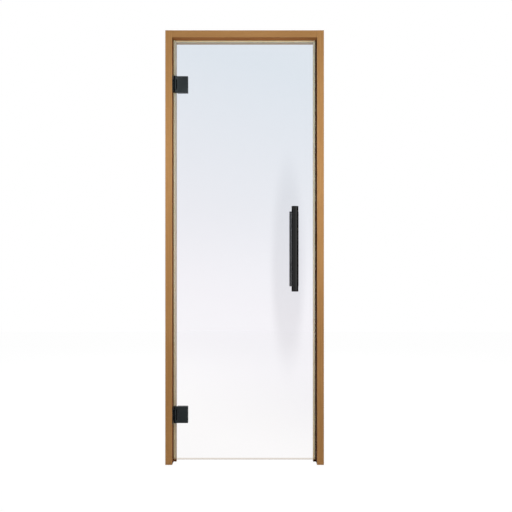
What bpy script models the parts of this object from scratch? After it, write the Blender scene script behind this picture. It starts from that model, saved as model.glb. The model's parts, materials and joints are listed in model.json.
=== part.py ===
"""Glass sauna door: a wooden frame of two jambs and a head, rabbeted on the
viewer's side, and a frameless glass leaf on two clamp hinges.

Metres, +Z up. The viewer looks along +Y. The origin is the middle of the
hinge jamb's outer side face, the face that is screwed to the wall opening.
The leaf opens toward the viewer, about the vertical pins of the hinges.
"""

import math

import bmesh
import bpy
from mathutils import Matrix, Vector

# Frame
FRAME_WIDTH = 0.690
FRAME_HEIGHT = 1.890
FRAME_DEPTH = 0.090
FACE_WIDTH = 0.030
STOP_WIDTH = 0.013
ARRIS = 0.0015
JOINT_GAP = 0.0003
CUT_PAST = 0.010

# Seal in the rabbet
SEAL_BASE = 0.0016
SEAL_HEIGHT = 0.0062
SEAL_WALL = 0.0010
BULB_WIDTH = 0.0088
SEAL_TAIL = 0.0058
KERF_INSET = 0.0056
KERF_WIDTH = 0.0034
KERF_DEPTH = 0.0070

# Leaf
GLASS_THICKNESS = 0.008
GLASS_SETBACK = 0.045
LEAF_CLEARANCE = 0.005
FLOOR_GAP = 0.0135
GLASS_CORNER = 0.004
GLASS_ARRIS = 0.0008
HOLE_CLEARANCE = 0.001
SEAT_GAP = 0.0003

# Hinges
HINGE_HEIGHT = 0.073
HINGE_FROM_TOP = 0.229
HINGE_FROM_FOOT = 0.212
PIN_INSET = 0.0095
PIN_RADIUS = 0.0025
PIN_CLEARANCE = 0.0003
KNUCKLE_RADIUS = 0.0055
KNUCKLE_HEIGHT = 0.0450
KNUCKLE_GAP = 0.0005
PLATE_REACH = 0.0565
PLATE_THICKNESS = 0.008
PLATE_CORNER = 0.0020
PLATE_RAMP = 0.0048
PLATE_CHAMFER = 0.0010
SLOT_REACH = 0.0092
GASKET_THICKNESS = 0.001
GASKET_MARGIN = 0.0006
FLANGE_THICKNESS = 0.0025
FLANGE_WIDTH = 0.038
FLANGE_CORNER = 0.005
WEB_WIDTH = 0.0070
SCREW_HEAD_RADIUS = 0.0042
SCREW_SHANK_RADIUS = 0.0023
SCREW_ROWS = 0.050
SCREW_COLUMNS = 0.014
SCREW_INSET = 0.009
PIN_HEAD_RADIUS = 0.0044
PIN_HEAD_HEIGHT = 0.0015
PIN_HEAD_EDGE = 0.0005
CLAMP_BOLT_RADIUS = 0.0030
CLAMP_SLEEVE_RADIUS = 0.0060
CLAMP_SLEEVE_ROOT = 0.0027
CLAMP_BOLT_SPACING = 0.040
CLAMP_BOLT_LENGTH = 0.018
BOLT_RIM = 0.0005

# Handle
HANDLE_INSET = 0.0962
HANDLE_CENTRE = 0.940
HANDLE_LENGTH = 0.371
HANDLE_RADIUS = 0.015
HANDLE_WALL = 0.002
HANDLE_GAP = 0.035
CAP_THICKNESS = 0.003
CAP_PLUG = 0.008
CAP_EDGE = 0.0010
GRIP_LENGTH = 0.333
GRIP_WIDTH = 0.041
GRIP_DEPTH = 0.024
GRIP_ROUND = 0.008
GRIP_END_EDGE = 0.0015
GRIP_GAP = 0.035
POST_INSET = 0.055
POST_RADIUS = 0.009
POST_FOOT_RADIUS = 0.012
POST_FOOT_HEIGHT = 0.004
POST_FOOT_EDGE = 0.001
STUD_RADIUS = 0.004
STUD_CLEARANCE = 0.0004
STUD_BITE = 0.012

# Sides of the round pieces and of the holes in them
TUBE_SIDES = 40
ROUND_SIDES = 24
HOLE_SIDES = 20

# Places that follow from the sizes above
FRONT_Y = -FRAME_DEPTH / 2
BACK_Y = FRAME_DEPTH / 2
FOOT_Z = -FRAME_HEIGHT / 2
TOP_Z = FRAME_HEIGHT / 2
RABBET_LEFT = FACE_WIDTH
RABBET_RIGHT = FRAME_WIDTH - FACE_WIDTH
RABBET_TOP = TOP_Z - FACE_WIDTH
GLASS_FRONT = FRONT_Y + GLASS_SETBACK
GLASS_BACK = GLASS_FRONT + GLASS_THICKNESS
SHOULDER_Y = GLASS_BACK + LEAF_CLEARANCE + SEAL_HEIGHT + SEAT_GAP
GLASS_LEFT = RABBET_LEFT + LEAF_CLEARANCE
GLASS_RIGHT = RABBET_RIGHT - LEAF_CLEARANCE
GLASS_TOP = RABBET_TOP - LEAF_CLEARANCE
GLASS_FOOT = FOOT_Z + FLOOR_GAP
GLASS_MIDDLE_Y = (GLASS_FRONT + GLASS_BACK) / 2
PIN_X = RABBET_LEFT + PIN_INSET
GASKET_FRONT = GLASS_FRONT - SEAT_GAP - GASKET_THICKNESS
PLATE_BACK = GASKET_FRONT - SEAT_GAP
PLATE_FRONT = PLATE_BACK - PLATE_THICKNESS
PIN_Y = PLATE_BACK - KNUCKLE_RADIUS - KNUCKLE_GAP
SLOT_X = PIN_X + SLOT_REACH
PLATE_RIGHT = PIN_X + PLATE_REACH
BOLT_X = (SLOT_X + PLATE_RIGHT) / 2
HANDLE_X = RABBET_RIGHT - HANDLE_INSET
HANDLE_Y = GLASS_FRONT - HANDLE_GAP - HANDLE_RADIUS
GRIP_FRONT = GLASS_BACK + GRIP_GAP
HANDLE_Z = FOOT_Z + HANDLE_CENTRE
HINGES = {
    "upper": TOP_Z - HINGE_FROM_TOP,
    "lower": FOOT_Z + HINGE_FROM_FOOT,
}
POSTS = {
    "upper": HANDLE_Z + GRIP_LENGTH / 2 - POST_INSET,
    "lower": HANDLE_Z - GRIP_LENGTH / 2 + POST_INSET,
}

# How an outline drawn in its own X and Y is stood up: by rows of the matrix
ACROSS = Matrix(((0, 0, 1), (1, 0, 0), (0, 1, 0))).to_4x4()
FACING = Matrix(((1, 0, 0), (0, 0, -1), (0, 1, 0))).to_4x4()


def clear_scene():
    for item in list(bpy.data.objects):
        bpy.data.objects.remove(item, do_unlink=True)


def new_collection(name):
    made = bpy.data.collections.new(name)
    bpy.context.scene.collection.children.link(made)
    return made


def material(name, colour, roughness, metallic=0.0, transmission=0.0):
    made = bpy.data.materials.new(name)
    made.use_nodes = True
    shader = made.node_tree.nodes["Principled BSDF"]
    shader.inputs["Base Color"].default_value = (*colour, 1.0)
    shader.inputs["Roughness"].default_value = roughness
    shader.inputs["Metallic"].default_value = metallic
    shader.inputs["Transmission Weight"].default_value = transmission
    made.diffuse_color = (*colour, 1.0)
    return made


def link(item, look):
    """Put a piece in the door's collection, with its material."""
    DOOR.objects.link(item)
    item.data.materials.clear()
    item.data.materials.append(look)
    return item


def hang(item, look):
    """Link a piece of the leaf and parent it to the empty on the hinge pins."""
    link(item, look)
    item.parent = SWING
    item.matrix_parent_inverse = Matrix.Translation(-SWING.location)
    return item


def upright(item, axes, place):
    """Stand an extruded outline in the world by its three local axes."""
    item.matrix_basis = Matrix.Translation(Vector(place)) @ axes
    return item


def arc(centre, radius, start, end, steps):
    """Points on an arc, angles in degrees, counter-clockwise when end > start."""
    span = [math.radians(start + (end - start) * i / steps) for i in range(steps + 1)]
    return [(centre[0] + radius * math.cos(a), centre[1] + radius * math.sin(a)) for a in span]


def ring(centre, radius, sides=HOLE_SIDES):
    """Points of a whole circle, none of them twice."""
    return arc(centre, radius, 0, 360, sides)[:-1]


def outline(name, loops, length):
    """A flat outline extruded by length, centred on its plane, as a mesh.

    The first loop is the outer edge and any further ones are holes.
    """
    curve = bpy.data.curves.new(name, "CURVE")
    curve.dimensions = "2D"
    curve.fill_mode = "BOTH"
    curve.extrude = length / 2
    for loop in loops:
        spline = curve.splines.new("POLY")
        spline.points.add(len(loop) - 1)
        for point, (u, v) in zip(spline.points, loop):
            point.co = (u, v, 0, 1)
        spline.use_cyclic_u = True
    source = bpy.data.objects.new(name + "_curve", curve)
    bpy.context.scene.collection.objects.link(source)
    bpy.context.view_layer.update()
    graph = bpy.context.evaluated_depsgraph_get()
    mesh = bpy.data.meshes.new_from_object(source.evaluated_get(graph))
    bpy.data.objects.remove(source, do_unlink=True)
    bpy.data.curves.remove(curve)
    weld(mesh)
    mesh.name = name
    return bpy.data.objects.new(name, mesh)


def weld(mesh):
    """Join the caps of an extruded outline to its sides, faces out."""
    work = bmesh.new()
    work.from_mesh(mesh)
    bmesh.ops.remove_doubles(work, verts=work.verts, dist=1e-6)
    bmesh.ops.recalc_face_normals(work, faces=work.faces)
    work.to_mesh(mesh)
    work.free()


def box_mesh(name, low, high):
    """A box between two corners, with its origin at its middle."""
    low, high = Vector(low), Vector(high)
    mesh = bpy.data.meshes.new(name)
    work = bmesh.new()
    bmesh.ops.create_cube(work, size=1.0)
    bmesh.ops.scale(work, vec=high - low, verts=work.verts)
    work.to_mesh(mesh)
    work.free()
    item = bpy.data.objects.new(name, mesh)
    item.location = (low + high) / 2
    return item


def rod_mesh(name, radius, length, axis, centre, sides=ROUND_SIDES):
    """A cylinder along Y or Z, with its origin at its middle."""
    mesh = bpy.data.meshes.new(name)
    work = bmesh.new()
    bmesh.ops.create_cone(
        work, cap_ends=True, segments=sides, radius1=radius, radius2=radius, depth=length)
    if axis == "Y":
        lie = Matrix.Rotation(math.radians(-90), 4, "X")
        bmesh.ops.transform(work, matrix=lie, verts=work.verts)
    work.to_mesh(mesh)
    work.free()
    smooth(mesh)
    item = bpy.data.objects.new(name, mesh)
    item.location = centre
    return item


def smooth(mesh):
    mesh.shade_smooth()
    mesh.set_sharp_from_angle(angle=math.radians(35))


def cutter(item):
    CUTTERS.objects.link(item)
    item.hide_render = True
    item.display_type = "WIRE"
    return item


def boolean(item, tool, operation):
    step = item.modifiers.new(operation.lower(), "BOOLEAN")
    step.operation = operation
    step.object = tool
    step.solver = "EXACT"


def cut(item, tool):
    boolean(item, cutter(tool), "DIFFERENCE")


def join(item, tool):
    boolean(item, cutter(tool), "UNION")


def bevel(item, width, segments=2, angle=40.0):
    step = item.modifiers.new("edges", "BEVEL")
    step.width = width
    step.segments = segments
    step.limit_method = "ANGLE"
    step.angle_limit = math.radians(angle)
    step.use_clamp_overlap = True


def turned(name, profile, axis, centre, steps=ROUND_SIDES):
    """A profile of (radius, height) points, top to bottom, turned about an axis.

    A first and last radius of zero close the ends. A profile that never
    reaches zero is joined into a ring.
    """
    mesh = bpy.data.meshes.new(name)
    work = bmesh.new()
    verts = [work.verts.new((radius, 0, height)) for radius, height in profile]
    for first, second in zip(verts, verts[1:]):
        work.edges.new((first, second))
    if profile[0][0] > 0:
        work.edges.new((verts[-1], verts[0]))
    work.to_mesh(mesh)
    work.free()
    item = bpy.data.objects.new(name, mesh)
    screw = item.modifiers.new("turn", "SCREW")
    screw.axis = "Z"
    screw.steps = steps
    screw.render_steps = steps
    screw.use_merge_vertices = True
    screw.merge_threshold = 0.00001
    item.rotation_euler = {
        "+X": (0, math.radians(90), 0),
        "+Y": (math.radians(-90), 0, 0),
        "-Y": (math.radians(90), 0, 0),
        "+Z": (0, 0, 0),
        "-Z": (math.radians(180), 0, 0),
    }[axis]
    item.location = centre
    return item


def section_points():
    """Corners of the jamb's L-shaped section: x from its outer side, y in depth.

    Each corner has the radius of its eased arris, zero where two faces meet
    in the rabbet or in the seal's kerf.
    """
    kerf_near = FACE_WIDTH + KERF_INSET - KERF_WIDTH / 2
    kerf_far = kerf_near + KERF_WIDTH
    kerf_end = SHOULDER_Y + KERF_DEPTH
    stop_edge = FACE_WIDTH + STOP_WIDTH
    return [
        (0, FRONT_Y, ARRIS),
        (FACE_WIDTH, FRONT_Y, ARRIS),
        (FACE_WIDTH, SHOULDER_Y, 0),
        (kerf_near, SHOULDER_Y, 0),
        (kerf_near, kerf_end, 0),
        (kerf_far, kerf_end, 0),
        (kerf_far, SHOULDER_Y, 0),
        (stop_edge, SHOULDER_Y, ARRIS / 2),
        (stop_edge, BACK_Y, ARRIS),
        (0, BACK_Y, ARRIS),
    ]


def seal_loops():
    """The seal's section: a base on the shoulder, a hollow bulb and a barbed tail.

    u runs from the rabbet's side across the shoulder, v from the shoulder
    toward the viewer. Returns the outer edge and the hollow of the bulb.
    """
    base_near = SEAT_GAP
    base_far = STOP_WIDTH - SEAT_GAP
    base_bottom = SEAT_GAP
    base_top = base_bottom + SEAL_BASE
    bulb_top = base_bottom + SEAL_HEIGHT
    rise = bulb_top - base_top
    stem = KERF_WIDTH / 2 - 4 * SEAT_GAP
    barb = KERF_WIDTH / 2 - SEAT_GAP
    tail_end = base_bottom - SEAL_TAIL
    half = BULB_WIDTH / 2
    bulb = [
        (KERF_INSET + half * math.cos(math.radians(a)),
         base_top + rise * math.sin(math.radians(a)))
        for a in range(0, 181, 20)]
    hollow = [
        (KERF_INSET + (half - SEAL_WALL) * math.cos(math.radians(a)),
         base_top + (rise - SEAL_WALL) * math.sin(math.radians(a)))
        for a in range(0, 181, 20)]
    tail = [
        (KERF_INSET - stem, base_bottom),
        (KERF_INSET - stem, tail_end / 2),
        (KERF_INSET - barb, tail_end / 2),
        (KERF_INSET - stem / 2, tail_end),
        (KERF_INSET + stem / 2, tail_end),
        (KERF_INSET + barb, tail_end / 2),
        (KERF_INSET + stem, tail_end / 2),
        (KERF_INSET + stem, base_bottom),
    ]
    edge = [(base_far, base_top)] + bulb + [(base_near, base_top), (base_near, base_bottom)]
    return [edge + tail + [(base_far, base_bottom)], hollow]


def eased(points, steps=2):
    """An outline with each corner cut by its own small round."""
    result = []
    count = len(points)
    for i, (x, y, radius) in enumerate(points):
        if radius == 0:
            result.append((x, y))
            continue
        here = Vector((x, y))
        before = (Vector(points[i - 1][:2]) - here).normalized() * radius
        after = (Vector(points[(i + 1) % count][:2]) - here).normalized() * radius
        for t in (k / steps for k in range(steps + 1)):
            point = here + before * (1 - t) ** 2 + after * t ** 2
            result.append((point.x, point.y))
    return result


def make_jamb(name, mirrored):
    points = eased(section_points())
    if mirrored:
        points = [(FRAME_WIDTH - x, y) for x, y in reversed(points)]
    link(outline(name, [points], FRAME_HEIGHT), WOOD)


def make_head():
    """The head, butted between the jambs and notched round their stops."""
    points = [(y, TOP_Z - x) for x, y in eased(section_points())]
    length = RABBET_RIGHT - RABBET_LEFT - 2 * JOINT_GAP
    head = outline("frame_head", [points], length)
    link(upright(head, ACROSS, (FRAME_WIDTH / 2, 0, 0)), WOOD)
    notch = STOP_WIDTH + JOINT_GAP
    for side, inner in (("left", RABBET_LEFT + notch), ("right", RABBET_RIGHT - notch)):
        outer = inner - FACE_WIDTH if side == "left" else inner + FACE_WIDTH
        low = (min(inner, outer), SHOULDER_Y - JOINT_GAP, RABBET_TOP - STOP_WIDTH - CUT_PAST)
        high = (max(inner, outer), BACK_Y + CUT_PAST, TOP_Z + CUT_PAST)
        cut(head, box_mesh(f"notch_{side}", low, high))


def make_seals():
    """Two side seals down to the foot of the glass, and one across the head."""
    loops = seal_loops()
    side_top = RABBET_TOP - SEAT_GAP
    length = side_top - GLASS_FOOT
    middle = (side_top + GLASS_FOOT) / 2
    left = [[(RABBET_LEFT + u, SHOULDER_Y - v) for u, v in loop] for loop in loops]
    right = [[(FRAME_WIDTH - x, y) for x, y in loop] for loop in left]
    for name, section in (("seal_hinge_side", left), ("seal_latch_side", right)):
        item = outline(name, section, length)
        item.location = (0, 0, middle)
        link(item, SILICONE)
    across = [[(SHOULDER_Y - v, RABBET_TOP - u) for u, v in loop] for loop in loops]
    reach = RABBET_RIGHT - RABBET_LEFT - 2 * (STOP_WIDTH + JOINT_GAP)
    head_seal = outline("seal_head", across, reach)
    link(upright(head_seal, ACROSS, (FRAME_WIDTH / 2, 0, 0)), SILICONE)


def make_glass():
    """The leaf's pane, with holes for the clamp sleeves and the handle's studs."""
    corners = [(GLASS_LEFT, GLASS_FOOT), (GLASS_RIGHT, GLASS_FOOT),
               (GLASS_RIGHT, GLASS_TOP), (GLASS_LEFT, GLASS_TOP)]
    points = eased([(x, z, GLASS_CORNER) for x, z in corners])
    pane = outline("glass_pane", [points], GLASS_THICKNESS)
    upright(pane, FACING, (0, GLASS_MIDDLE_Y, 0))
    bevel(pane, GLASS_ARRIS, segments=1)
    holes = [(BOLT_X, bolt_z, CLAMP_SLEEVE_RADIUS)
             for hinge_z in HINGES.values() for bolt_z in bolt_heights(hinge_z)]
    holes += [(HANDLE_X, post_z, STUD_RADIUS) for post_z in POSTS.values()]
    for i, (x, z, radius) in enumerate(holes):
        cut(pane, rod_mesh(f"pane_hole_{i}", radius + HOLE_CLEARANCE, 2 * GLASS_THICKNESS,
                           "Y", (x, GLASS_MIDDLE_Y, z)))
    hang(pane, GLASS)


def bolt_heights(hinge_z):
    return (hinge_z + CLAMP_BOLT_SPACING / 2, hinge_z - CLAMP_BOLT_SPACING / 2)


def plate_section():
    """Plan of the outer plate: a knuckle round the pin that runs into a flat bar."""
    eye = arc((PIN_X, PIN_Y), KNUCKLE_RADIUS, 280, 80, 10)
    return eye + [
        (SLOT_X, PLATE_BACK),
        (PLATE_RIGHT, PLATE_BACK),
        (PLATE_RIGHT, PLATE_FRONT),
        (SLOT_X + PLATE_RAMP, PLATE_FRONT),
    ]


def make_outer_plate(name, hinge_z):
    """Clamp plate on the viewer's side, with two lugs on the pin.

    Two sleeves on its back pass through the glass and take the clamp bolts.
    """
    plate = outline(name, [plate_section()], HINGE_HEIGHT)
    plate.location = (0, 0, hinge_z)
    room = KNUCKLE_HEIGHT / 2 + KNUCKLE_GAP
    low = (PIN_X - 2 * KNUCKLE_RADIUS, PIN_Y - 2 * KNUCKLE_RADIUS, hinge_z - room)
    high = (SLOT_X, GLASS_FRONT, hinge_z + room)
    cut(plate, box_mesh(f"{name}_slot", low, high))
    bevel(plate, PLATE_CHAMFER, segments=1, angle=50.0)
    bore = PIN_RADIUS + PIN_CLEARANCE
    cut(plate, rod_mesh(f"{name}_bore", bore, 2 * HINGE_HEIGHT, "Z", (PIN_X, PIN_Y, hinge_z),
                        HOLE_SIDES))
    root = PLATE_BACK - CLAMP_SLEEVE_ROOT
    length = GLASS_BACK - root
    thread = CLAMP_BOLT_RADIUS + PIN_CLEARANCE
    for i, bolt_z in enumerate(bolt_heights(hinge_z)):
        middle = (BOLT_X, root + length / 2, bolt_z)
        join(plate, rod_mesh(f"{name}_sleeve_{i}", CLAMP_SLEEVE_RADIUS, length, "Y", middle,
                             HOLE_SIDES))
        middle = (BOLT_X, root + length, bolt_z)
        cut(plate, rod_mesh(f"{name}_thread_{i}", thread, 2 * length, "Y", middle, HOLE_SIDES))
    hang(plate, BLACK)


def plate_outline(left, right, hinge_z, margin):
    """Rectangle of a plate or gasket in X and Z, with small round corners."""
    low = hinge_z - HINGE_HEIGHT / 2 + margin
    high = hinge_z + HINGE_HEIGHT / 2 - margin
    corners = [(left, low), (right, low), (right, high), (left, high)]
    return eased([(x, z, PLATE_CORNER) for x, z in corners])


def make_gaskets(name, hinge_z):
    """Thin rubber sheets between the glass and the two clamp plates."""
    sleeve = CLAMP_SLEEVE_RADIUS + SEAT_GAP
    bolt = CLAMP_BOLT_RADIUS + PIN_CLEARANCE
    faces = (
        ("outer", PIN_X, GLASS_FRONT - SEAT_GAP - GASKET_THICKNESS / 2, sleeve),
        ("inner", SLOT_X, GLASS_BACK + SEAT_GAP + GASKET_THICKNESS / 2, bolt),
    )
    for face, left, middle, radius in faces:
        edge = plate_outline(left, PLATE_RIGHT - GASKET_MARGIN, hinge_z, GASKET_MARGIN)
        holes = [ring((BOLT_X, z), radius) for z in bolt_heights(hinge_z)]
        sheet = outline(f"{name}_{face}_gasket", [edge] + holes, GASKET_THICKNESS)
        hang(upright(sheet, FACING, (0, middle, 0)), RUBBER)


def make_inner_plate(name, hinge_z):
    """Clamp plate on the sauna side, countersunk for its two bolts."""
    front = GLASS_BACK + 2 * SEAT_GAP + GASKET_THICKNESS
    middle_y = front + PLATE_THICKNESS / 2
    plate = outline(name, [plate_outline(SLOT_X, PLATE_RIGHT, hinge_z, 0)], PLATE_THICKNESS)
    upright(plate, FACING, (0, middle_y, 0))
    bevel(plate, PLATE_CHAMFER, segments=1, angle=50.0)
    back = front + PLATE_THICKNESS
    for i, bolt_z in enumerate(bolt_heights(hinge_z)):
        cut(plate, turned(f"{name}_sink_{i}", sink_profile(), "+Y", (BOLT_X, back, bolt_z),
                          HOLE_SIDES))
    hang(plate, BLACK)


def make_clamp_bolts(name, hinge_z):
    """Countersunk bolts from the sauna side into the outer plate's sleeves."""
    back = GLASS_BACK + 2 * SEAT_GAP + GASKET_THICKNESS + PLATE_THICKNESS
    for label, bolt_z in zip(("upper", "lower"), bolt_heights(hinge_z)):
        bolt = turned(f"{name}_bolt_{label}", bolt_profile(), "+Y", (BOLT_X, back, bolt_z),
                      HOLE_SIDES)
        hang(bolt, STEEL)


def bolt_profile():
    """Countersunk bolt with its head just under height 0."""
    head = 2 * CLAMP_BOLT_RADIUS
    top = -SEAT_GAP
    rim = top - BOLT_RIM
    return [
        (0, top),
        (head, top),
        (head, rim),
        (CLAMP_BOLT_RADIUS, rim - CLAMP_BOLT_RADIUS),
        (CLAMP_BOLT_RADIUS, -CLAMP_BOLT_LENGTH),
        (0, -CLAMP_BOLT_LENGTH),
    ]


def sink_profile():
    """The hole for that bolt, through the plate and past both its faces."""
    head = 2 * CLAMP_BOLT_RADIUS + PIN_CLEARANCE
    shank = CLAMP_BOLT_RADIUS + PIN_CLEARANCE
    rim = -SEAT_GAP - BOLT_RIM
    past = PLATE_THICKNESS / 2
    return [
        (0, past),
        (head, past),
        (head, rim),
        (shank, rim - CLAMP_BOLT_RADIUS),
        (shank, -PLATE_THICKNESS - past),
        (0, -PLATE_THICKNESS - past),
    ]


def screw_sink_profile():
    """The hole for a countersunk screw, its face at height 0, past both faces."""
    past = FLANGE_THICKNESS / 2
    return [
        (0, past),
        (SCREW_HEAD_RADIUS + past, past),
        (SCREW_SHANK_RADIUS, SCREW_SHANK_RADIUS - SCREW_HEAD_RADIUS),
        (SCREW_SHANK_RADIUS, -FLANGE_THICKNESS - past),
        (0, -FLANGE_THICKNESS - past),
    ]


def make_bracket(name, hinge_z):
    """Frame half of the hinge: a flange on the rabbet's side, a web and a knuckle.

    The flange takes four screws in front of the knuckle.
    """
    flange_left = RABBET_LEFT + SEAT_GAP
    flange_right = flange_left + FLANGE_THICKNESS
    flange_back = GLASS_FRONT - LEAF_CLEARANCE
    flange_front = flange_back - FLANGE_WIDTH
    low = hinge_z - HINGE_HEIGHT / 2
    high = hinge_z + HINGE_HEIGHT / 2
    edge = eased([(flange_front, low, FLANGE_CORNER), (flange_back, low, 0),
                  (flange_back, high, 0), (flange_front, high, FLANGE_CORNER)], 3)
    bracket = outline(name, [edge], FLANGE_THICKNESS)
    upright(bracket, ACROSS, ((flange_left + flange_right) / 2, 0, 0))
    first = flange_front + SCREW_INSET
    for i, y in enumerate((first, first + SCREW_COLUMNS)):
        for k, z in enumerate((hinge_z - SCREW_ROWS / 2, hinge_z + SCREW_ROWS / 2)):
            cut(bracket, turned(f"{name}_screw_{i}_{k}", screw_sink_profile(), "+X",
                                (flange_right, y, z), HOLE_SIDES))
    web_half = KNUCKLE_HEIGHT / 2
    low = (flange_right - FLANGE_THICKNESS / 2, PIN_Y - WEB_WIDTH / 2, hinge_z - web_half)
    high = (PIN_X, PIN_Y + WEB_WIDTH / 2, hinge_z + web_half)
    join(bracket, box_mesh(f"{name}_web", low, high))
    place = (PIN_X, PIN_Y, hinge_z)
    join(bracket, rod_mesh(f"{name}_knuckle", KNUCKLE_RADIUS, KNUCKLE_HEIGHT, "Z", place))
    bore = PIN_RADIUS + PIN_CLEARANCE
    cut(bracket, rod_mesh(f"{name}_bore", bore, 2 * HINGE_HEIGHT, "Z", place, HOLE_SIDES))
    link(bracket, BLACK)


def make_pin(name, hinge_z):
    """Hinge pin with a low head that rests on the upper lug."""
    half = HINGE_HEIGHT / 2
    seat = half + SEAT_GAP
    profile = [
        (0, seat + PIN_HEAD_HEIGHT),
        (PIN_HEAD_RADIUS - PIN_HEAD_EDGE, seat + PIN_HEAD_HEIGHT),
        (PIN_HEAD_RADIUS, seat + PIN_HEAD_HEIGHT - PIN_HEAD_EDGE),
        (PIN_HEAD_RADIUS, seat),
        (PIN_RADIUS, seat),
        (PIN_RADIUS, -half),
        (0, -half),
    ]
    hang(turned(name, profile, "+Z", (PIN_X, PIN_Y, hinge_z), HOLE_SIDES), STEEL)


def make_hinges():
    for level, hinge_z in HINGES.items():
        name = f"hinge_{level}"
        make_bracket(f"{name}_bracket", hinge_z)
        make_pin(f"{name}_pin", hinge_z)
        make_outer_plate(f"{name}_outer_plate", hinge_z)
        make_gaskets(name, hinge_z)
        make_inner_plate(f"{name}_inner_plate", hinge_z)
        make_clamp_bolts(name, hinge_z)


def make_handle_tube():
    """The pull on the viewer's side: a tube with a plug cap in each end."""
    length = HANDLE_LENGTH - 2 * (CAP_THICKNESS + SEAT_GAP)
    place = (HANDLE_X, HANDLE_Y, HANDLE_Z)
    bore = HANDLE_RADIUS - HANDLE_WALL
    loops = [ring((0, 0), radius, TUBE_SIDES) for radius in (HANDLE_RADIUS, bore)]
    tube = outline("handle_tube", loops, length)
    tube.location = place
    for level, post_z in POSTS.items():
        middle = (HANDLE_X, HANDLE_Y + HANDLE_RADIUS, post_z)
        hole = STUD_RADIUS + STUD_CLEARANCE
        cut(tube, rod_mesh(f"tube_hole_{level}", hole, HANDLE_RADIUS, "Y", middle, HOLE_SIDES))
    hang(tube, BLACK)
    plug = bore - SEAT_GAP
    profile = [
        (0, CAP_THICKNESS),
        (HANDLE_RADIUS - CAP_EDGE, CAP_THICKNESS),
        (HANDLE_RADIUS, CAP_THICKNESS - CAP_EDGE),
        (HANDLE_RADIUS, 0),
        (plug, 0),
        (plug, -CAP_PLUG),
        (0, -CAP_PLUG),
    ]
    seat = length / 2 + SEAT_GAP
    for level, axis, way in (("upper", "+Z", 1), ("lower", "-Z", -1)):
        place = (HANDLE_X, HANDLE_Y, HANDLE_Z + way * seat)
        hang(turned(f"handle_cap_{level}", profile, axis, place, TUBE_SIDES), BLACK)


def make_grip():
    """The flat grip on the sauna side, with a blind hole for each stud."""
    half_x = GRIP_WIDTH / 2
    half_y = GRIP_DEPTH / 2
    corners = [(-half_x, -half_y), (half_x, -half_y), (half_x, half_y), (-half_x, half_y)]
    section = eased([(x, y, GRIP_ROUND) for x, y in corners], 5)
    grip = outline("handle_grip", [section], GRIP_LENGTH)
    grip.location = (HANDLE_X, GRIP_FRONT + half_y, HANDLE_Z)
    bevel(grip, GRIP_END_EDGE, segments=2, angle=50.0)
    for level, post_z in POSTS.items():
        depth = 2 * STUD_BITE
        hole = STUD_RADIUS + STUD_CLEARANCE
        place = (HANDLE_X, GRIP_FRONT, post_z)
        cut(grip, rod_mesh(f"grip_hole_{level}", hole, depth, "Y", place, HOLE_SIDES))
    hang(grip, STAINED)


def post_profile(length):
    """A bored post with a wider foot at height 0."""
    hole = STUD_RADIUS + STUD_CLEARANCE
    return [
        (POST_RADIUS, length),
        (POST_RADIUS, POST_FOOT_HEIGHT),
        (POST_FOOT_RADIUS - POST_FOOT_EDGE, POST_FOOT_HEIGHT),
        (POST_FOOT_RADIUS, POST_FOOT_HEIGHT - POST_FOOT_EDGE),
        (POST_FOOT_RADIUS, 0),
        (hole, 0),
        (hole, length),
    ]


def make_posts():
    """Posts, rubber washers and studs that hold both handles to the glass."""
    hole = STUD_RADIUS + STUD_CLEARANCE
    washer = [
        (POST_FOOT_RADIUS - GASKET_MARGIN, GASKET_THICKNESS / 2),
        (POST_FOOT_RADIUS - GASKET_MARGIN, -GASKET_THICKNESS / 2),
        (hole, -GASKET_THICKNESS / 2),
        (hole, GASKET_THICKNESS / 2),
    ]
    lift = SEAT_GAP + GASKET_THICKNESS / 2
    inner_seat = GLASS_BACK + 2 * SEAT_GAP + GASKET_THICKNESS
    outer_length = PLATE_BACK - HANDLE_Y - HANDLE_RADIUS / 2
    inner_length = GRIP_FRONT - SEAT_GAP - inner_seat
    tube_wall = HANDLE_Y + HANDLE_RADIUS - HANDLE_WALL
    stud_front = tube_wall - HANDLE_WALL
    stud_back = GRIP_FRONT + STUD_BITE - SEAT_GAP
    for level, post_z in POSTS.items():
        outer = turned(f"handle_post_outer_{level}", post_profile(outer_length), "-Y",
                       (HANDLE_X, PLATE_BACK, post_z))
        saddle = rod_mesh(f"saddle_{level}", HANDLE_RADIUS + SEAT_GAP, 4 * POST_FOOT_RADIUS,
                          "Z", (HANDLE_X, HANDLE_Y, post_z), TUBE_SIDES)
        cut(outer, saddle)
        hang(outer, BLACK)
        hang(turned(f"handle_post_inner_{level}", post_profile(inner_length), "+Y",
                    (HANDLE_X, inner_seat, post_z)), BLACK)
        for face, y in (("outer", GLASS_FRONT - lift), ("inner", GLASS_BACK + lift)):
            hang(turned(f"handle_washer_{face}_{level}", washer, "+Y",
                        (HANDLE_X, y, post_z)), RUBBER)
        middle = (HANDLE_X, (stud_front + stud_back) / 2, post_z)
        hang(rod_mesh(f"handle_stud_{level}", STUD_RADIUS, stud_back - stud_front, "Y",
                      middle, HOLE_SIDES), STEEL)


clear_scene()
DOOR = new_collection("sauna_door")
CUTTERS = new_collection("cutters")

WOOD = material("heat_treated_wood", (0.44, 0.25, 0.12), 0.5)
GLASS = material("clear_glass", (0.86, 0.91, 0.95), 0.02, transmission=1.0)
SILICONE = material("cream_silicone", (0.66, 0.60, 0.44), 0.4)
BLACK = material("black_metal", (0.025, 0.026, 0.028), 0.35, metallic=0.6)
STAINED = material("black_stained_wood", (0.03, 0.029, 0.028), 0.6)
RUBBER = material("black_rubber", (0.015, 0.015, 0.015), 0.7)
STEEL = material("dark_steel", (0.10, 0.10, 0.11), 0.35, metallic=1.0)

SWING = bpy.data.objects.new("leaf_swing", None)
SWING.location = (PIN_X, PIN_Y, 0)
DOOR.objects.link(SWING)

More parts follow.
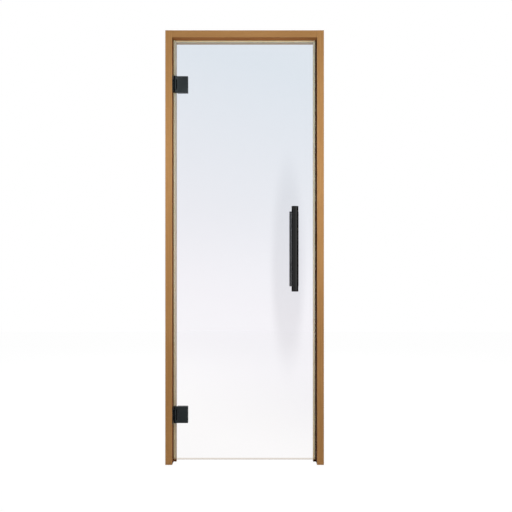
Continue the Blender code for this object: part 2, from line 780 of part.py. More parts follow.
make_jamb("hinge_jamb", mirrored=False)
make_jamb("latch_jamb", mirrored=True)
make_head()
make_seals()
make_glass()
make_hinges()
make_handle_tube()
make_grip()
make_posts()
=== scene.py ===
"""Looks of a glass sauna door in a brown wooden frame.

The leaf, frame, hinges and handles are already in place, in metres, +Z up,
with the hinge jamb's outer side at X = 0 and the outside toward -Y.
"""

import json
import math

import bmesh
import bpy
import numpy as np
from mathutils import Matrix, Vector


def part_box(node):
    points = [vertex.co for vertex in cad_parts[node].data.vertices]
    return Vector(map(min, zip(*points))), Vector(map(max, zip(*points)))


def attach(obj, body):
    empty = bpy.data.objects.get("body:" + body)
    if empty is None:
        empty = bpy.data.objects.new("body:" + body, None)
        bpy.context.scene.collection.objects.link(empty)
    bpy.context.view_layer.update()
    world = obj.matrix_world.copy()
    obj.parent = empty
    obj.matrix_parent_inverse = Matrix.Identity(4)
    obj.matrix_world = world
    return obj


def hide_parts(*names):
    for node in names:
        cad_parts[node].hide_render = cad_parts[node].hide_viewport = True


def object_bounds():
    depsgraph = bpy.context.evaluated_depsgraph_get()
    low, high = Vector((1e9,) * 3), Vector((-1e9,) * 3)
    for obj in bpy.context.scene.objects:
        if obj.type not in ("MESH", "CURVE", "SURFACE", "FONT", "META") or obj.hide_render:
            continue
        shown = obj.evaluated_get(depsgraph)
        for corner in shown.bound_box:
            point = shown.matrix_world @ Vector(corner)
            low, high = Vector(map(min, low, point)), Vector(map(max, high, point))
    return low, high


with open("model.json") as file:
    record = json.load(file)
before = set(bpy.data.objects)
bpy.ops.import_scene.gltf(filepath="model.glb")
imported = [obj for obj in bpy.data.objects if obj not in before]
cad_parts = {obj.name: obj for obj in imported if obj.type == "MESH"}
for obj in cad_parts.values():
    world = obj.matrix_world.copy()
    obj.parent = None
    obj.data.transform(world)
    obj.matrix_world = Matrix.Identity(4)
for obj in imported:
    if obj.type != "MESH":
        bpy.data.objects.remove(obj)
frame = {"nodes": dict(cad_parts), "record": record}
cad_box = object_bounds()

# Eye: level, straight on, a little latchward of the door's middle and below it
EYE_DISTANCE = 4.0
EYE_ASIDE = 0.0496
EYE_BELOW = 0.0365
VIEW_WIDTH = 2.226
SENSOR = 36.0

# How far a part stands off what carries it
SEAT_GAP = 0.0003

# Frame timbers
FACE_WIDTH = 0.030
STOP_WIDTH = 0.013
RABBET_DEPTH = 0.0645
ARRIS = 0.0015
ARRIS_STEPS = 7
ARRIS_HOLD = 0.25
JOINT_GAP = 0.0003
KERF_INSET = 0.0056
KERF_WIDTH = 0.0034
KERF_DEPTH = 0.0070

# Seal in the rabbet
SEAL_BASE = 0.0016
SEAL_HEIGHT = 0.0062
SEAL_WALL = 0.0010
SEAL_TAIL = 0.0058
BULB_WIDTH = 0.0088
BULB_SQUARENESS = 0.6
BULB_STEPS = 32
BULB_INSET = 0.0050
FLANK_START = 0.0068
FLANK_FADE = 0.0018
LATCH_SEAL_SHARE = 0.58

# Pull, grip and their posts
PULL_SIDES = 96
PULL_WALL = 0.002
PULL_EASE = 0.0002
CAP_EASE = 0.0009
GRIP_EASE = 0.008
GRIP_STEPS = 12
GRIP_END_EASE = 0.0018
GRIP_END_STEPS = 6
POST_SIDES = 64
POST_RADIUS = 0.009
POST_FOOT_HEIGHT = 0.004
POST_FOOT_EASE = 0.0012
POST_FILLET = 0.0015
POST_END_RINGS = 7
WASHER_BORE = 0.0044

# Hinges
PLATE_EASE = 0.00025
PLATE_EASE_STEPS = 2
BOLT_SIDES = 48
BOLT_HEAD_RADIUS = 0.006
BOLT_SHANK_RADIUS = 0.003
BOLT_RIM = 0.0005
BOLT_KEY = 0.0040
BOLT_KEY_DEPTH = 0.0026
SCREW_HEAD_RADIUS = 0.0041
SCREW_SHANK_RADIUS = 0.0021
SCREW_KEY = 0.0025
SCREW_KEY_DEPTH = 0.0012
SCREW_LENGTH = 0.012
SCREW_INSET = 0.009
SCREW_COLUMNS = 0.014
SCREW_ROWS = 0.050
FLANGE_THICKNESS = 0.0025
PIN_SHANK_RADIUS = 0.0025
PIN_EASE = 0.0006

# Meshes: how near points merge, and the angles between faces that count as flat or sharp
MERGE_REACH = 1e-7
EMPTY_REACH = 1e-8
SOLID_MERGE_REACH = 1e-6
FLAT_ANGLE = math.radians(0.5)
EDGE_ANGLE = math.radians(28)
SMOOTH_ANGLE = math.radians(35)

# Growth rings of the timber, round a pith beside the board
RING_PITCH = 0.0042
PITH_ASIDE = 0.085
PITH_DEEP = 0.035
RING_DRIFT = 0.030
RING_WANDER = 0.007

# Grain of the timber, in lumps a metre across and along the board
DRIFT_LUMPS = (5, 0.9)
WANDER_LUMPS = (85, 1.6)
FIBRE_LUMPS = (1100, 14)
STREAK_LUMPS = (190, 2.6)
CLOUD_LUMPS = (16, 3.2)
PORE_LUMPS = (1900, 60)
PORE_STRENGTH = 0.55

# Wear and unevenness of coats, in lumps a metre
WEAR_LUMPS = 22
NICK_LUMPS = 260
UNEVEN_LUMPS = 14
SKIN_LUMPS = 900
GRIT_LUMPS = 2600

# Colours, in levels of 0 to 255
WOOD_LIGHT = (194, 142, 85)
WOOD_DARK = (167, 116, 63)
WOOD_WORN = (206, 160, 102)
PORE_TINT = (205, 190, 175)
# Painted shade in the rabbets: deepest on the latch side, where that jamb's shadow falls, faintest
# under the head
RABBET_PAINTED_SHADE_HINGE_SIDE = (150, 115, 75)
RABBET_PAINTED_SHADE_LATCH_SIDE = (95, 60, 26)
RABBET_PAINTED_SHADE_HEAD = (225, 200, 175)
SILICONE_LIGHT = (255, 232, 180)
SILICONE_DARK = (252, 228, 170)
# Painted shade on the seals' flank toward the stop's edge
FLANK_PAINTED_SHADE = (206, 206, 213)
STAIN_LIGHT = (76, 75, 74)
STAIN_DARK = (56, 55, 54)
BLACK_WORN = (60, 60, 58)

# Wood finish
WOOD_WEAR = 0.6
RABBET_ROUGHNESS = 0.85
WOOD_RELIEF = 0.00012
STAIN_RELIEF = 0.00015
SILICONE_RELIEF = 0.00002

# Glass: tints from foot to head that are a painted reflection, darker and bluer toward the head, and
# where along the height they change
PAINTED_REFLECTION_LOW = (0.979, 0.965, 0.967, 1.0)
PAINTED_REFLECTION_MID = (0.829, 0.815, 0.857, 1.0)
PAINTED_REFLECTION_TOP = (0.680, 0.736, 0.802, 1.0)
GLASS_LEAN = 0.3
GLASS_RISE = (-0.761, 0.927)
GLASS_RISE_SHARE = 0.795
GLASS_SWELL = (-0.722, -0.302)
GLASS_SWELL_SHARE = 0.205

# Bands along the pane's foot and head: their tint, and how far in they start and end to fade
FOOT_TINT = (0.76, 0.70, 0.64, 1.0)
FOOT_BAND = (0.0065, 0.0075)
HEAD_TINT = (0.98, 0.98, 0.98, 1.0)
HEAD_BAND = (0.0036, 0.0042)

# Floor
FLOOR_SIZE = 14.0
FLOOR_GLOW = 0.95
FLOOR_SHADE = 0.10
FLOOR_TONE = 0.90

# Light all round: from where to where it changes, then its level at both ends
SOFT_LIGHT = (-0.2, 0.9, 0.48, 0.15)
BACK_GLOSS = (0.60, 0.90, 0.0, 1.0)
GLOSS_APART = (0.20, 0.50, 1.8, 3.4)
GLOSS_ASIDE = (-1.0, 0.6, 0.65, 1.25)
GLOSS_LOW = (-0.19, -0.06, 0.15, 1.45)
GLOSS_HIGH = (-0.04, 0.06, 1.0, 0.72)
GLOSS_END = (1.10, 1.35, 1.0, 0.03)
GLOSS_TURN = 0.07

# Narrow upright shade in the front gloss
SHADE_ASIDE = 0.0348
SHADE_DOWN = 0.012
SHADE_HALF_WIDTH = 0.0225
SHADE_HALF_HEIGHT = 0.14
SHADE_EDGE = (0.5, 1.0)


def linear(colour, strength=1.0):
    """sRGB levels of 0 to 255 as linear values, with full alpha."""
    levels = np.asarray(colour, dtype=float) / 255
    curve = np.where(levels <= 0.04045, levels / 12.92, ((levels + 0.055) / 1.055) ** 2.4)
    return (*(curve * strength).tolist(), 1.0)


def low(node):
    """Lowest corner of a node at rest."""
    return np.array(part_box(node)[0])


def high(node):
    """Highest corner of a node at rest."""
    return np.array(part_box(node)[1])


def middle(node):
    """Middle of a node's box at rest."""
    return (low(node) + high(node)) / 2


def feed(tree, made, inputs):
    """Give a node's inputs their values, or the sockets that feed them."""
    for name, value in inputs.items():
        if isinstance(value, bpy.types.NodeSocket):
            tree.links.new(value, made.inputs[name])
        else:
            made.inputs[name].default_value = value
    return made


def add(tree, kind, inputs=None, **settings):
    """A shader node with its settings and inputs."""
    made = tree.nodes.new(f"ShaderNode{kind}")
    for name, value in settings.items():
        setattr(made, name, value)
    return feed(tree, made, inputs or {})


def calc(tree, operation, first, second=0.0):
    """One step of arithmetic on one or two values."""
    return add(tree, "Math", {0: first, 1: second}, operation=operation).outputs[0]


def between(tree, value, start, end, first=0.0, last=1.0, shape="SMOOTHSTEP"):
    """How far the value has gone from start to end, as a level from first to last."""
    made = add(tree, "MapRange", {"Value": value, "From Min": start, "From Max": end,
                                  "To Min": first, "To Max": last}, interpolation_type=shape)
    return made.outputs["Result"]


def mixed(tree, factor, first, second, blend="MIX"):
    """Two colours mixed by a factor."""
    made = add(tree, "Mix", data_type="RGBA", blend_type=blend)
    return feed(tree, made, {0: factor, 6: first, 7: second}).outputs[2]


def noise(tree, vector, across, along=None, detail=2.0, rough=0.5):
    """Noise of 0 to 1 with so many lumps a metre, drawn out along Z where fewer are asked."""
    pitch = (across, across, along or across)
    spread = add(tree, "VectorMath", {0: vector, 1: pitch}, operation="MULTIPLY").outputs[0]
    made = add(tree, "TexNoise", {"Vector": spread, "Scale": 1.0, "Detail": detail,
                                  "Roughness": rough})
    return made.outputs["Fac"]


def weighed(tree, parts):
    """The sum of values, each times its weight."""
    total = 0.0
    for value, weight in parts:
        total = calc(tree, "ADD", total, calc(tree, "MULTIPLY", value, weight))
    return total


def new_group(name, inputs, outputs):
    """A shader node group with named sockets: its tree, what it is given, and its end node."""
    tree = bpy.data.node_groups.new(name, "ShaderNodeTree")
    for way, sockets in (("INPUT", inputs), ("OUTPUT", outputs)):
        for label, kind in sockets.items():
            tree.interface.new_socket(name=label, in_out=way, socket_type=f"NodeSocket{kind}")
    return tree, tree.nodes.new("NodeGroupInput").outputs, tree.nodes.new("NodeGroupOutput")


def timber_group():
    """Grain of a planed board whose length lies along Z.

    Growth rings are a wave of the distance from a pith beside the board, bent
    by slow noise. Fibres and pores are noise drawn out along the length.
    """
    tree, given, result = new_group(
        "timber_grain", {"Vector": "Vector", "Light": "Color", "Dark": "Color"},
        {"Color": "Color", "Roughness": "Float", "Height": "Float"})
    place = given["Vector"]
    split = add(tree, "SeparateXYZ", {0: place}).outputs
    flat = add(tree, "CombineXYZ", {0: calc(tree, "ADD", split[0], PITH_ASIDE),
                                    1: calc(tree, "ADD", split[1], PITH_DEEP)}).outputs[0]
    reach = add(tree, "VectorMath", {0: flat}, operation="LENGTH").outputs["Value"]
    drift = weighed(tree, ((noise(tree, place, *DRIFT_LUMPS), RING_DRIFT),
                           (noise(tree, place, *WANDER_LUMPS), RING_WANDER)))
    turns = calc(tree, "MULTIPLY", calc(tree, "ADD", reach, drift), 2 * math.pi / RING_PITCH)
    rings = between(tree, calc(tree, "SINE", turns), -0.7, 1.0)
    fibre = noise(tree, place, *FIBRE_LUMPS, detail=3, rough=0.6)
    streak = noise(tree, place, *STREAK_LUMPS, detail=3, rough=0.55)
    cloud = noise(tree, place, *CLOUD_LUMPS, detail=3, rough=0.6)
    pores = between(tree, noise(tree, place, *PORE_LUMPS, detail=1), 0.66, 0.74)
    tone = weighed(tree, ((rings, 0.26), (fibre, 0.28), (streak, 0.50), (cloud, 0.50)))
    colour = mixed(tree, between(tree, tone, 0.42, 1.10), given["Light"], given["Dark"])
    pitted = mixed(tree, 1.0, colour, linear(PORE_TINT), "MULTIPLY")
    colour = mixed(tree, calc(tree, "MULTIPLY", pores, PORE_STRENGTH), colour, pitted)
    feed(tree, result, {
        "Color": colour,
        "Roughness": weighed(tree, ((1.0, 0.42), (fibre, 0.16))),
        "Height": weighed(tree, ((fibre, 0.5), (pores, -0.8), (rings, 0.25))),
    })
    return tree


def wear_group():
    """Mask of rubbed edges: the marked arris, broken up by two sizes of noise."""
    tree, given, result = new_group(
        "edge_wear", {"Vector": "Vector", "Arris": "Float", "Amount": "Float"}, {"Mask": "Float"})
    patches = between(tree, noise(tree, given["Vector"], WEAR_LUMPS, detail=3), 0.38, 0.72)
    nicks = between(tree, noise(tree, given["Vector"], NICK_LUMPS), 0.35, 0.65, 0.5, 1.0)
    mask = calc(tree, "MULTIPLY", patches, nicks)
    for part in (given["Arris"], given["Amount"]):
        mask = calc(tree, "MULTIPLY", mask, part)
    feed(tree, result, {"Mask": mask})
    return tree


def drift_group():
    """Slow and fine unevenness of a coated surface, as roughness, tint and height."""
    tree, given, result = new_group(
        "coat_drift", {"Vector": "Vector", "Roughness": "Float", "Spread": "Float"},
        {"Roughness": "Float", "Tint": "Float", "Height": "Float"})
    slow = noise(tree, given["Vector"], UNEVEN_LUMPS, detail=3, rough=0.6)
    fine = noise(tree, given["Vector"], SKIN_LUMPS)
    grit = noise(tree, given["Vector"], GRIT_LUMPS, detail=1)
    sway = weighed(tree, ((slow, 1.0), (fine, 1.0), (1.0, -1.0)))
    sway = calc(tree, "MULTIPLY", sway, given["Spread"])
    feed(tree, result, {
        "Roughness": calc(tree, "ADD", given["Roughness"], sway),
        "Tint": slow,
        "Height": weighed(tree, ((grit, 0.7), (fine, 1.0))),
    })
    return tree


TIMBER = timber_group()
WEAR = wear_group()
DRIFT = drift_group()


def grouped(tree, group, inputs):
    """A group placed in a tree and fed its inputs: what it puts out."""
    return feed(tree, add(tree, "Group", node_tree=group), inputs).outputs


def new_material(name, **plain):
    """A material, its tree, its shader with plain values, and its object coordinates."""
    made = bpy.data.materials.new(name)
    made.use_nodes = True
    tree = made.node_tree
    shader = tree.nodes["Principled BSDF"]
    for label, value in plain.items():
        shader.inputs[label.replace("_", " ")].default_value = value
    return made, tree, shader, add(tree, "TexCoord").outputs["Object"]


def marked(tree, label):
    """The level from 0 to 1 that the mesh carries under a label."""
    return add(tree, "Attribute", attribute_name=label).outputs["Fac"]


def finish_shader(tree, shader, colour, roughness, height, depth, strength):
    """Colour, roughness and a bump of so many metres' depth."""
    bump = add(tree, "Bump", {"Height": height, "Distance": depth, "Strength": strength})
    feed(tree, shader, {"Base Color": colour, "Roughness": roughness,
                        "Normal": bump.outputs["Normal"]})


def frame_wood(name, turn, shift, rabbet_shade):
    """Heat-treated wood: grain, drift of tone, painted shade in the rabbet, rubbed arrises.

    The rabbet's side and shoulder are the ones marked, not the stop's inner side.
    turn stands the board's length along Z, shift makes each board's grain its own, and the last
    colour given is painted shade, multiplied over the rabbet's side and shoulder.
    """
    made, tree, shader, place = new_material(name, Specular_IOR_Level=0.2)
    board = add(tree, "Mapping", {"Vector": place, "Location": shift, "Rotation": turn})
    grain = grouped(tree, TIMBER, {"Vector": board.outputs[0], "Light": linear(WOOD_LIGHT),
                                   "Dark": linear(WOOD_DARK)})
    wear = grouped(tree, WEAR, {"Vector": place, "Arris": marked(tree, "arris"),
                                "Amount": WOOD_WEAR})
    colour = mixed(tree, wear["Mask"], grain["Color"], linear(WOOD_WORN))
    # Painted shade: the rabbet's side and shoulder take a darker colour multiplied over them
    rabbet = marked(tree, "rabbet")
    dark = mixed(tree, 1.0, colour, linear(rabbet_shade), "MULTIPLY")
    colour = mixed(tree, rabbet, colour, dark)
    dull = calc(tree, "MAXIMUM", grain["Roughness"],
                calc(tree, "MULTIPLY", rabbet, RABBET_ROUGHNESS))
    finish_shader(tree, shader, colour, dull, grain["Height"], WOOD_RELIEF, 0.6)
    return made


def leaf_glass():
    """Toughened float glass with a painted reflection, bluer and darker toward the head, and beige
    along its foot.

    The painted reflection's depth is a straight climb with the height plus a soft swell near the
    foot, and both lean with the width, darker toward the latch side. A band along the head is left
    clear.
    """
    made, tree, shader, place = new_material("leaf_glass", Roughness=0.0, IOR=1.5,
                                             Transmission_Weight=1.0)
    split = add(tree, "SeparateXYZ", {0: place}).outputs
    # Painted reflection: the tint deepens toward the head and the latch side
    rise = weighed(tree, ((split[2], 1.0), (split[0], GLASS_LEAN)))
    climb = between(tree, rise, *GLASS_RISE, shape="LINEAR")
    swell = between(tree, rise, *GLASS_SWELL)
    depth = weighed(tree, ((climb, GLASS_RISE_SHARE), (swell, GLASS_SWELL_SHARE)))
    tint = mixed(tree, between(tree, depth, 0.0, 0.5, shape="LINEAR"), PAINTED_REFLECTION_LOW, PAINTED_REFLECTION_MID)
    tint = mixed(tree, between(tree, depth, 0.5, 1.0, shape="LINEAR"), tint, PAINTED_REFLECTION_TOP)
    foot, head = low("glass_pane")[2], high("glass_pane")[2]
    # A beige band along the pane's foot
    beige_foot = between(tree, split[2], foot + FOOT_BAND[1], foot + FOOT_BAND[0])
    tint = mixed(tree, beige_foot, tint, FOOT_TINT)
    clear = between(tree, split[2], head - HEAD_BAND[1], head - HEAD_BAND[0])
    feed(tree, shader, {"Base Color": mixed(tree, clear, tint, HEAD_TINT)})
    return made


def seal_silicone():
    """Cream silicone, a little translucent, with a dull skin and painted shade on its flank."""
    made, tree, shader, place = new_material(
        "seal_silicone", Subsurface_Weight=0.2, Subsurface_Radius=(1.0, 0.7, 0.4),
        Subsurface_Scale=0.0015)
    drift = grouped(tree, DRIFT, {"Vector": place, "Roughness": 0.45, "Spread": 0.10})
    colour = mixed(tree, drift["Tint"], linear(SILICONE_LIGHT), linear(SILICONE_DARK))
    # Painted shade on the flank toward the stop's edge
    flank = mixed(tree, marked(tree, "rabbet"), (1, 1, 1, 1), linear(FLANK_PAINTED_SHADE))
    colour = mixed(tree, 1.0, colour, flank, "MULTIPLY")
    finish_shader(tree, shader, colour, drift["Roughness"], drift["Height"], SILICONE_RELIEF, 0.4)
    return made


def coated(name, colour, worn, roughness, spread, wear, depth, **plain):
    """A coated or moulded surface: uneven gloss, fine texture, worn edges."""
    made, tree, shader, place = new_material(name, **plain)
    drift = grouped(tree, DRIFT, {"Vector": place, "Roughness": roughness, "Spread": spread})
    rubbed = grouped(tree, WEAR, {"Vector": place, "Arris": marked(tree, "arris"), "Amount": wear})
    tinted = mixed(tree, drift["Tint"], linear(colour), linear(colour, 0.7))
    shown = mixed(tree, rubbed["Mask"], tinted, linear(worn))
    finish_shader(tree, shader, shown, drift["Roughness"], drift["Height"], depth, 0.5)
    return made


def grip_wood():
    """Black-stained wood: the timber's grain under a matt stain."""
    made, tree, shader, place = new_material("grip_wood", Specular_IOR_Level=0.3)
    grain = grouped(tree, TIMBER, {"Vector": place, "Light": linear(STAIN_LIGHT),
                                   "Dark": linear(STAIN_DARK)})
    finish_shader(tree, shader, grain["Color"], grain["Roughness"], grain["Height"],
                  STAIN_RELIEF, 0.8)
    return made


# Each board's rabbet gets its own depth of painted shade
HINGE_SIDE_WOOD = frame_wood("frame_wood_hinge_side", turn=(0, 0, 0), shift=(0, 0, 0),
                             rabbet_shade=RABBET_PAINTED_SHADE_HINGE_SIDE)
LATCH_SIDE_WOOD = frame_wood("frame_wood_latch_side", turn=(0, 0, math.pi),
                             shift=(0.73, 0.02, 0.9), rabbet_shade=RABBET_PAINTED_SHADE_LATCH_SIDE)
HEAD_WOOD = frame_wood("frame_wood_head", turn=(0, math.pi / 2, 0), shift=(-0.9, 0.01, 1.7),
                       rabbet_shade=RABBET_PAINTED_SHADE_HEAD)
SILICONE = seal_silicone()
GLASS = leaf_glass()
HINGE_BLACK = coated("black_metal_hinge", colour=(13, 15, 16), worn=BLACK_WORN, roughness=0.28,
                     spread=0.08, wear=0.3, depth=0.00002, Specular_IOR_Level=0.20,
                     Specular_Tint=(0.86, 1.0, 1.04, 1.0))
PULL_BLACK = coated("black_metal_pull", colour=(8, 8, 8), worn=BLACK_WORN, roughness=0.20,
                    spread=0.08, wear=0.3, depth=0.00001, Specular_IOR_Level=0.115)
RUBBER = coated("black_rubber", colour=(20, 20, 20), worn=(30, 30, 30), roughness=0.70,
                spread=0.10, wear=0.0, depth=0.00004)
STEEL = coated("dark_steel", colour=(70, 70, 72), worn=(120, 120, 120), roughness=0.36,
               spread=0.12, wear=0.6, depth=0.00001, Metallic=1.0)
GRIP_BLACK = grip_wood()


def eased(corners, radii, steps=ARRIS_STEPS):
    """A closed outline with its corners rounded, and a mask of the rounded stretches.

    Each corner becomes corner + before (1 - t)^2 + after t^2 for t from 0 to 1, where
    before and after lie along its two sides and are as long as its radius. One point
    more on each side, just past the curve, keeps the flats flat.
    """
    corners = np.asarray(corners, dtype=float)
    radii = np.asarray(radii, dtype=float)[:, None]
    before = np.roll(corners, 1, axis=0) - corners
    after = np.roll(corners, -1, axis=0) - corners
    before *= radii / np.linalg.norm(before, axis=1, keepdims=True)
    after *= radii / np.linalg.norm(after, axis=1, keepdims=True)
    t = np.linspace(0, 1, steps + 1)[None, :, None]
    curve = corners[:, None] + before[:, None] * (1 - t) ** 2 + after[:, None] * t ** 2
    first = (corners + before * (1 + ARRIS_HOLD))[:, None]
    last = (corners + after * (1 + ARRIS_HOLD))[:, None]
    points = np.concatenate([first, curve, last], axis=1)
    mask = np.zeros(points.shape[:2])
    mask[:, 1:-1] = radii > 0
    return points.reshape(-1, 2), mask.reshape(-1)


def quads(rows, columns, round_rows=False):
    """Faces of a grid of points whose columns run round, and whose rows may."""
    index = np.arange(rows * columns).reshape(rows, columns)
    index = np.hstack([index, index[:, :1]])
    if round_rows:
        index = np.vstack([index, index[:1]])
    return np.stack([index[:-1, :-1], index[:-1, 1:], index[1:, 1:], index[1:, :-1]], axis=-1)


def laid(points, axis, centre):
    """Points with their third coordinate laid along an axis, from a centre."""
    x, y, z = np.moveaxis(points, -1, 0)
    lie = {"+X": (z, x, y), "+Y": (x, z, y), "-Y": (x, -z, y), "+Z": (x, y, z), "-Z": (x, y, -z)}
    return np.stack(lie[axis], axis=-1) + np.asarray(centre)


def lathed(profile, axis, centre, sides, mask):
    """A closed profile of (r, h) turned about an axis: (r cos a, r sin a, h)."""
    angle = np.linspace(0, 2 * math.pi, sides, endpoint=False)
    radius, height = profile[:, :1], profile[:, 1:]
    points = np.stack([radius * np.cos(angle), radius * np.sin(angle),
                       np.broadcast_to(height, (len(profile), sides))], axis=-1)
    return {"points": laid(points, axis, centre), "arris": np.repeat(mask, sides),
            "faces": quads(len(profile), sides, round_rows=True).reshape(-1, 4).tolist()}


def close_shell(mesh):
    """Merge the points that meet, drop what has no area, and turn the faces outward."""
    work = bmesh.new()
    work.from_mesh(mesh)
    bmesh.ops.remove_doubles(work, verts=work.verts, dist=MERGE_REACH)
    bmesh.ops.dissolve_degenerate(work, edges=work.edges, dist=EMPTY_REACH)
    bmesh.ops.recalc_face_normals(work, faces=work.faces)
    work.to_mesh(mesh)
    work.free()


def finish_piece(item, look, body, nodes):
    """Shade a piece, give it its material, and say what it rides on and stands for."""
    item.data.materials.clear()
    item.data.materials.append(look)
    item.data.shade_smooth()
    item.data.set_sharp_from_angle(angle=SMOOTH_ANGLE)
    bpy.context.scene.collection.objects.link(item)
    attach(item, body)
    if nodes:
        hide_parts(*nodes)


def make_piece(name, shells, look, body, nodes=()):
    """One mesh of closed shells, with their arris and rabbet marks."""
    sizes = [shell["points"].size // 3 for shell in shells]
    starts = np.cumsum([0] + sizes)
    points = np.concatenate([shell["points"].reshape(-1, 3) for shell in shells])
    faces = [[corner + start for corner in face]
             for shell, start in zip(shells, starts.tolist()) for face in shell["faces"]]
    mesh = bpy.data.meshes.new(name)
    mesh.from_pydata(points.tolist(), [], faces)
    # The rabbet mark carries painted shade: on the wood's rabbet and on the seals' flanks
    for label in ("arris", "rabbet"):
        marks = [shell.get(label, np.zeros(size)) for shell, size in zip(shells, sizes)]
        data = mesh.attributes.new(label, "FLOAT", "POINT").data
        data.foreach_set("value", np.concatenate(marks).astype(np.float32))
    close_shell(mesh)
    finish_piece(bpy.data.objects.new(name, mesh), look, body, nodes)


def timber_section(seal_share=1.0):
    """The L section as (u, v) points, u from the outer side and v in depth, with its marks.

    It runs round the face, down the rabbet to its shoulder, into the seal's kerf and
    out, and round the stop to the back. seal_share narrows the kerf toward the
    stop's inner edge.
    """
    front, back = low("hinge_jamb")[1], high("hinge_jamb")[1]
    shoulder = front + RABBET_DEPTH
    step = shoulder - JOINT_GAP
    stop = FACE_WIDTH + STOP_WIDTH
    near = stop - seal_share * (STOP_WIDTH - KERF_INSET + KERF_WIDTH / 2)
    far = near + seal_share * KERF_WIDTH
    corners = [
        (0, front, ARRIS),
        (FACE_WIDTH, front, ARRIS),
        (FACE_WIDTH, step, 0),
        (FACE_WIDTH, shoulder, 0),
        (near, shoulder, 0),
        (near, shoulder + KERF_DEPTH, 0),
        (far, shoulder + KERF_DEPTH, 0),
        (far, shoulder, 0),
        (stop, shoulder, ARRIS / 2),
        (stop, back, ARRIS),
        (0, back, ARRIS),
        (0, step, 0),
    ]
    section, arris = eased([row[:2] for row in corners], [row[2] for row in corners])
    u, v = section.T
    # The rabbet mark: where the wood gets its painted shade
    rabbet = (u > FACE_WIDTH / 2) & (v > front + ARRIS) & (v < shoulder + JOINT_GAP)
    return u, v, arris, rabbet.astype(float), step


def timber_shell(place, stations, seal_share=1.0):
    """The section carried to each station of its length, its ends closed.

    place turns arrays of (u, v, length) into the three coordinates.
    """
    u, v, arris, rabbet, _ = timber_section(seal_share)
    rows, columns = len(stations), len(u)
    points = np.stack([np.stack(place(u, v, np.full(columns, w)), axis=-1) for w in stations])
    ring = np.arange(columns)
    ends = [ring.tolist(), (ring + (rows - 1) * columns).tolist()]
    return {"points": points, "faces": quads(rows, columns).reshape(-1, 4).tolist() + ends,
            "arris": np.tile(arris, rows), "rabbet": np.tile(rabbet, rows)}


def notched(shell, rows):
    """That shell with the part behind the rabbet's shoulder cut back by one station.

    At each end the front part keeps its own face, the back part ends one station
    further in, and a step joins the two.
    """
    _, v, _, _, step = timber_section()
    columns = len(v)
    behind = v > step + JOINT_GAP / 2
    sides = quads(rows, columns)
    kept = np.ones(sides.shape[:2], dtype=bool)
    kept[[0, -1]] = ~(behind | np.roll(behind, -1))
    edge = np.flatnonzero(np.isclose(v, step)).tolist()
    ahead = np.flatnonzero(~behind)
    rear = np.arange(edge[0], edge[-1] + 1)
    faces = sides[kept].tolist()
    for outer, inner in ((0, columns), ((rows - 1) * columns, (rows - 2) * columns)):
        faces.append((ahead + outer).tolist())
        faces.append((rear + inner).tolist())
        faces.append([edge[0] + outer, edge[0] + inner, edge[-1] + inner, edge[-1] + outer])
    return {**shell, "faces": faces}


def make_frame():
    """Two jambs from floor to top, and the head between them, notched round their stops."""
    foot, top = cad_box[0][2], cad_box[1][2]
    width = cad_box[1][0]
    left = timber_shell(lambda u, v, w: (u, v, w), [foot, top])
    right = timber_shell(lambda u, v, w: (width - u, v, w), [foot, top], LATCH_SEAL_SHARE)
    start, end = low("frame_head")[0], high("frame_head")[0]
    stations = [start, start + STOP_WIDTH, end - STOP_WIDTH, end]
    head = notched(timber_shell(lambda u, v, w: (w, v, top - u), stations), len(stations))
    make_piece("jamb_hinge_side", [left], HINGE_SIDE_WOOD, "frame", ["hinge_jamb"])
    make_piece("jamb_latch_side", [right], LATCH_SIDE_WOOD, "frame", ["latch_jamb"])
    make_piece("head_rail", [head], HEAD_WOOD, "frame", ["frame_head"])


def merged_copy(name, node):
    """A solid's copy with its points merged and its flat faces made whole."""
    mesh = frame["nodes"][node].data.copy()
    mesh.name = name
    work = bmesh.new()
    work.from_mesh(mesh)
    bmesh.ops.remove_doubles(work, verts=work.verts, dist=SOLID_MERGE_REACH)
    bmesh.ops.dissolve_limit(work, angle_limit=FLAT_ANGLE, verts=work.verts, edges=work.edges)
    work.to_mesh(mesh)
    work.free()
    return bpy.data.objects.new(name, mesh)


def ease_edges(item, width):
    """Round a piece's sharp edges to a width."""
    step = item.modifiers.new("ease", "BEVEL")
    step.width = width
    step.segments = PLATE_EASE_STEPS
    step.limit_method = "ANGLE"
    step.angle_limit = EDGE_ANGLE
    step.harden_normals = True


def seal_section():
    """The seal's section as (u, v) points: its bulb, the bulb's hollow, then base and tail.

    u runs from the rabbet's side, v from the shoulder toward the viewer. The bulb is
    (w sgn(cos a) |cos a|^e, h |sin a|^e), a half round pressed squarer, with e below 1.
    """
    base = SEAT_GAP + SEAL_BASE
    angle = np.linspace(0, math.pi, BULB_STEPS + 1)
    shape = np.stack([np.cos(angle), np.sin(angle)], axis=1)
    shape = np.sign(shape) * np.abs(shape).clip(1e-9) ** BULB_SQUARENESS
    size = np.array([BULB_WIDTH / 2, SEAL_HEIGHT - SEAL_BASE])
    bulb = shape * size + (BULB_INSET, base)
    hollow = shape * (size - SEAL_WALL) + (BULB_INSET, base)
    barb = KERF_WIDTH / 2 - SEAT_GAP
    stem = barb - 3 * SEAT_GAP
    half = SEAT_GAP - SEAL_TAIL / 2
    end = SEAT_GAP - SEAL_TAIL
    tail = [(-stem, SEAT_GAP), (-stem, half), (-barb, half), (-stem / 2, end),
            (stem / 2, end), (barb, half), (stem, half), (stem, SEAT_GAP)]
    near, far = SEAT_GAP, STOP_WIDTH - SEAT_GAP
    foot = [(near, base), (near, SEAT_GAP)] + [(KERF_INSET + u, v) for u, v in tail]
    return bulb, hollow, np.array(foot + [(far, SEAT_GAP), (far, base)])


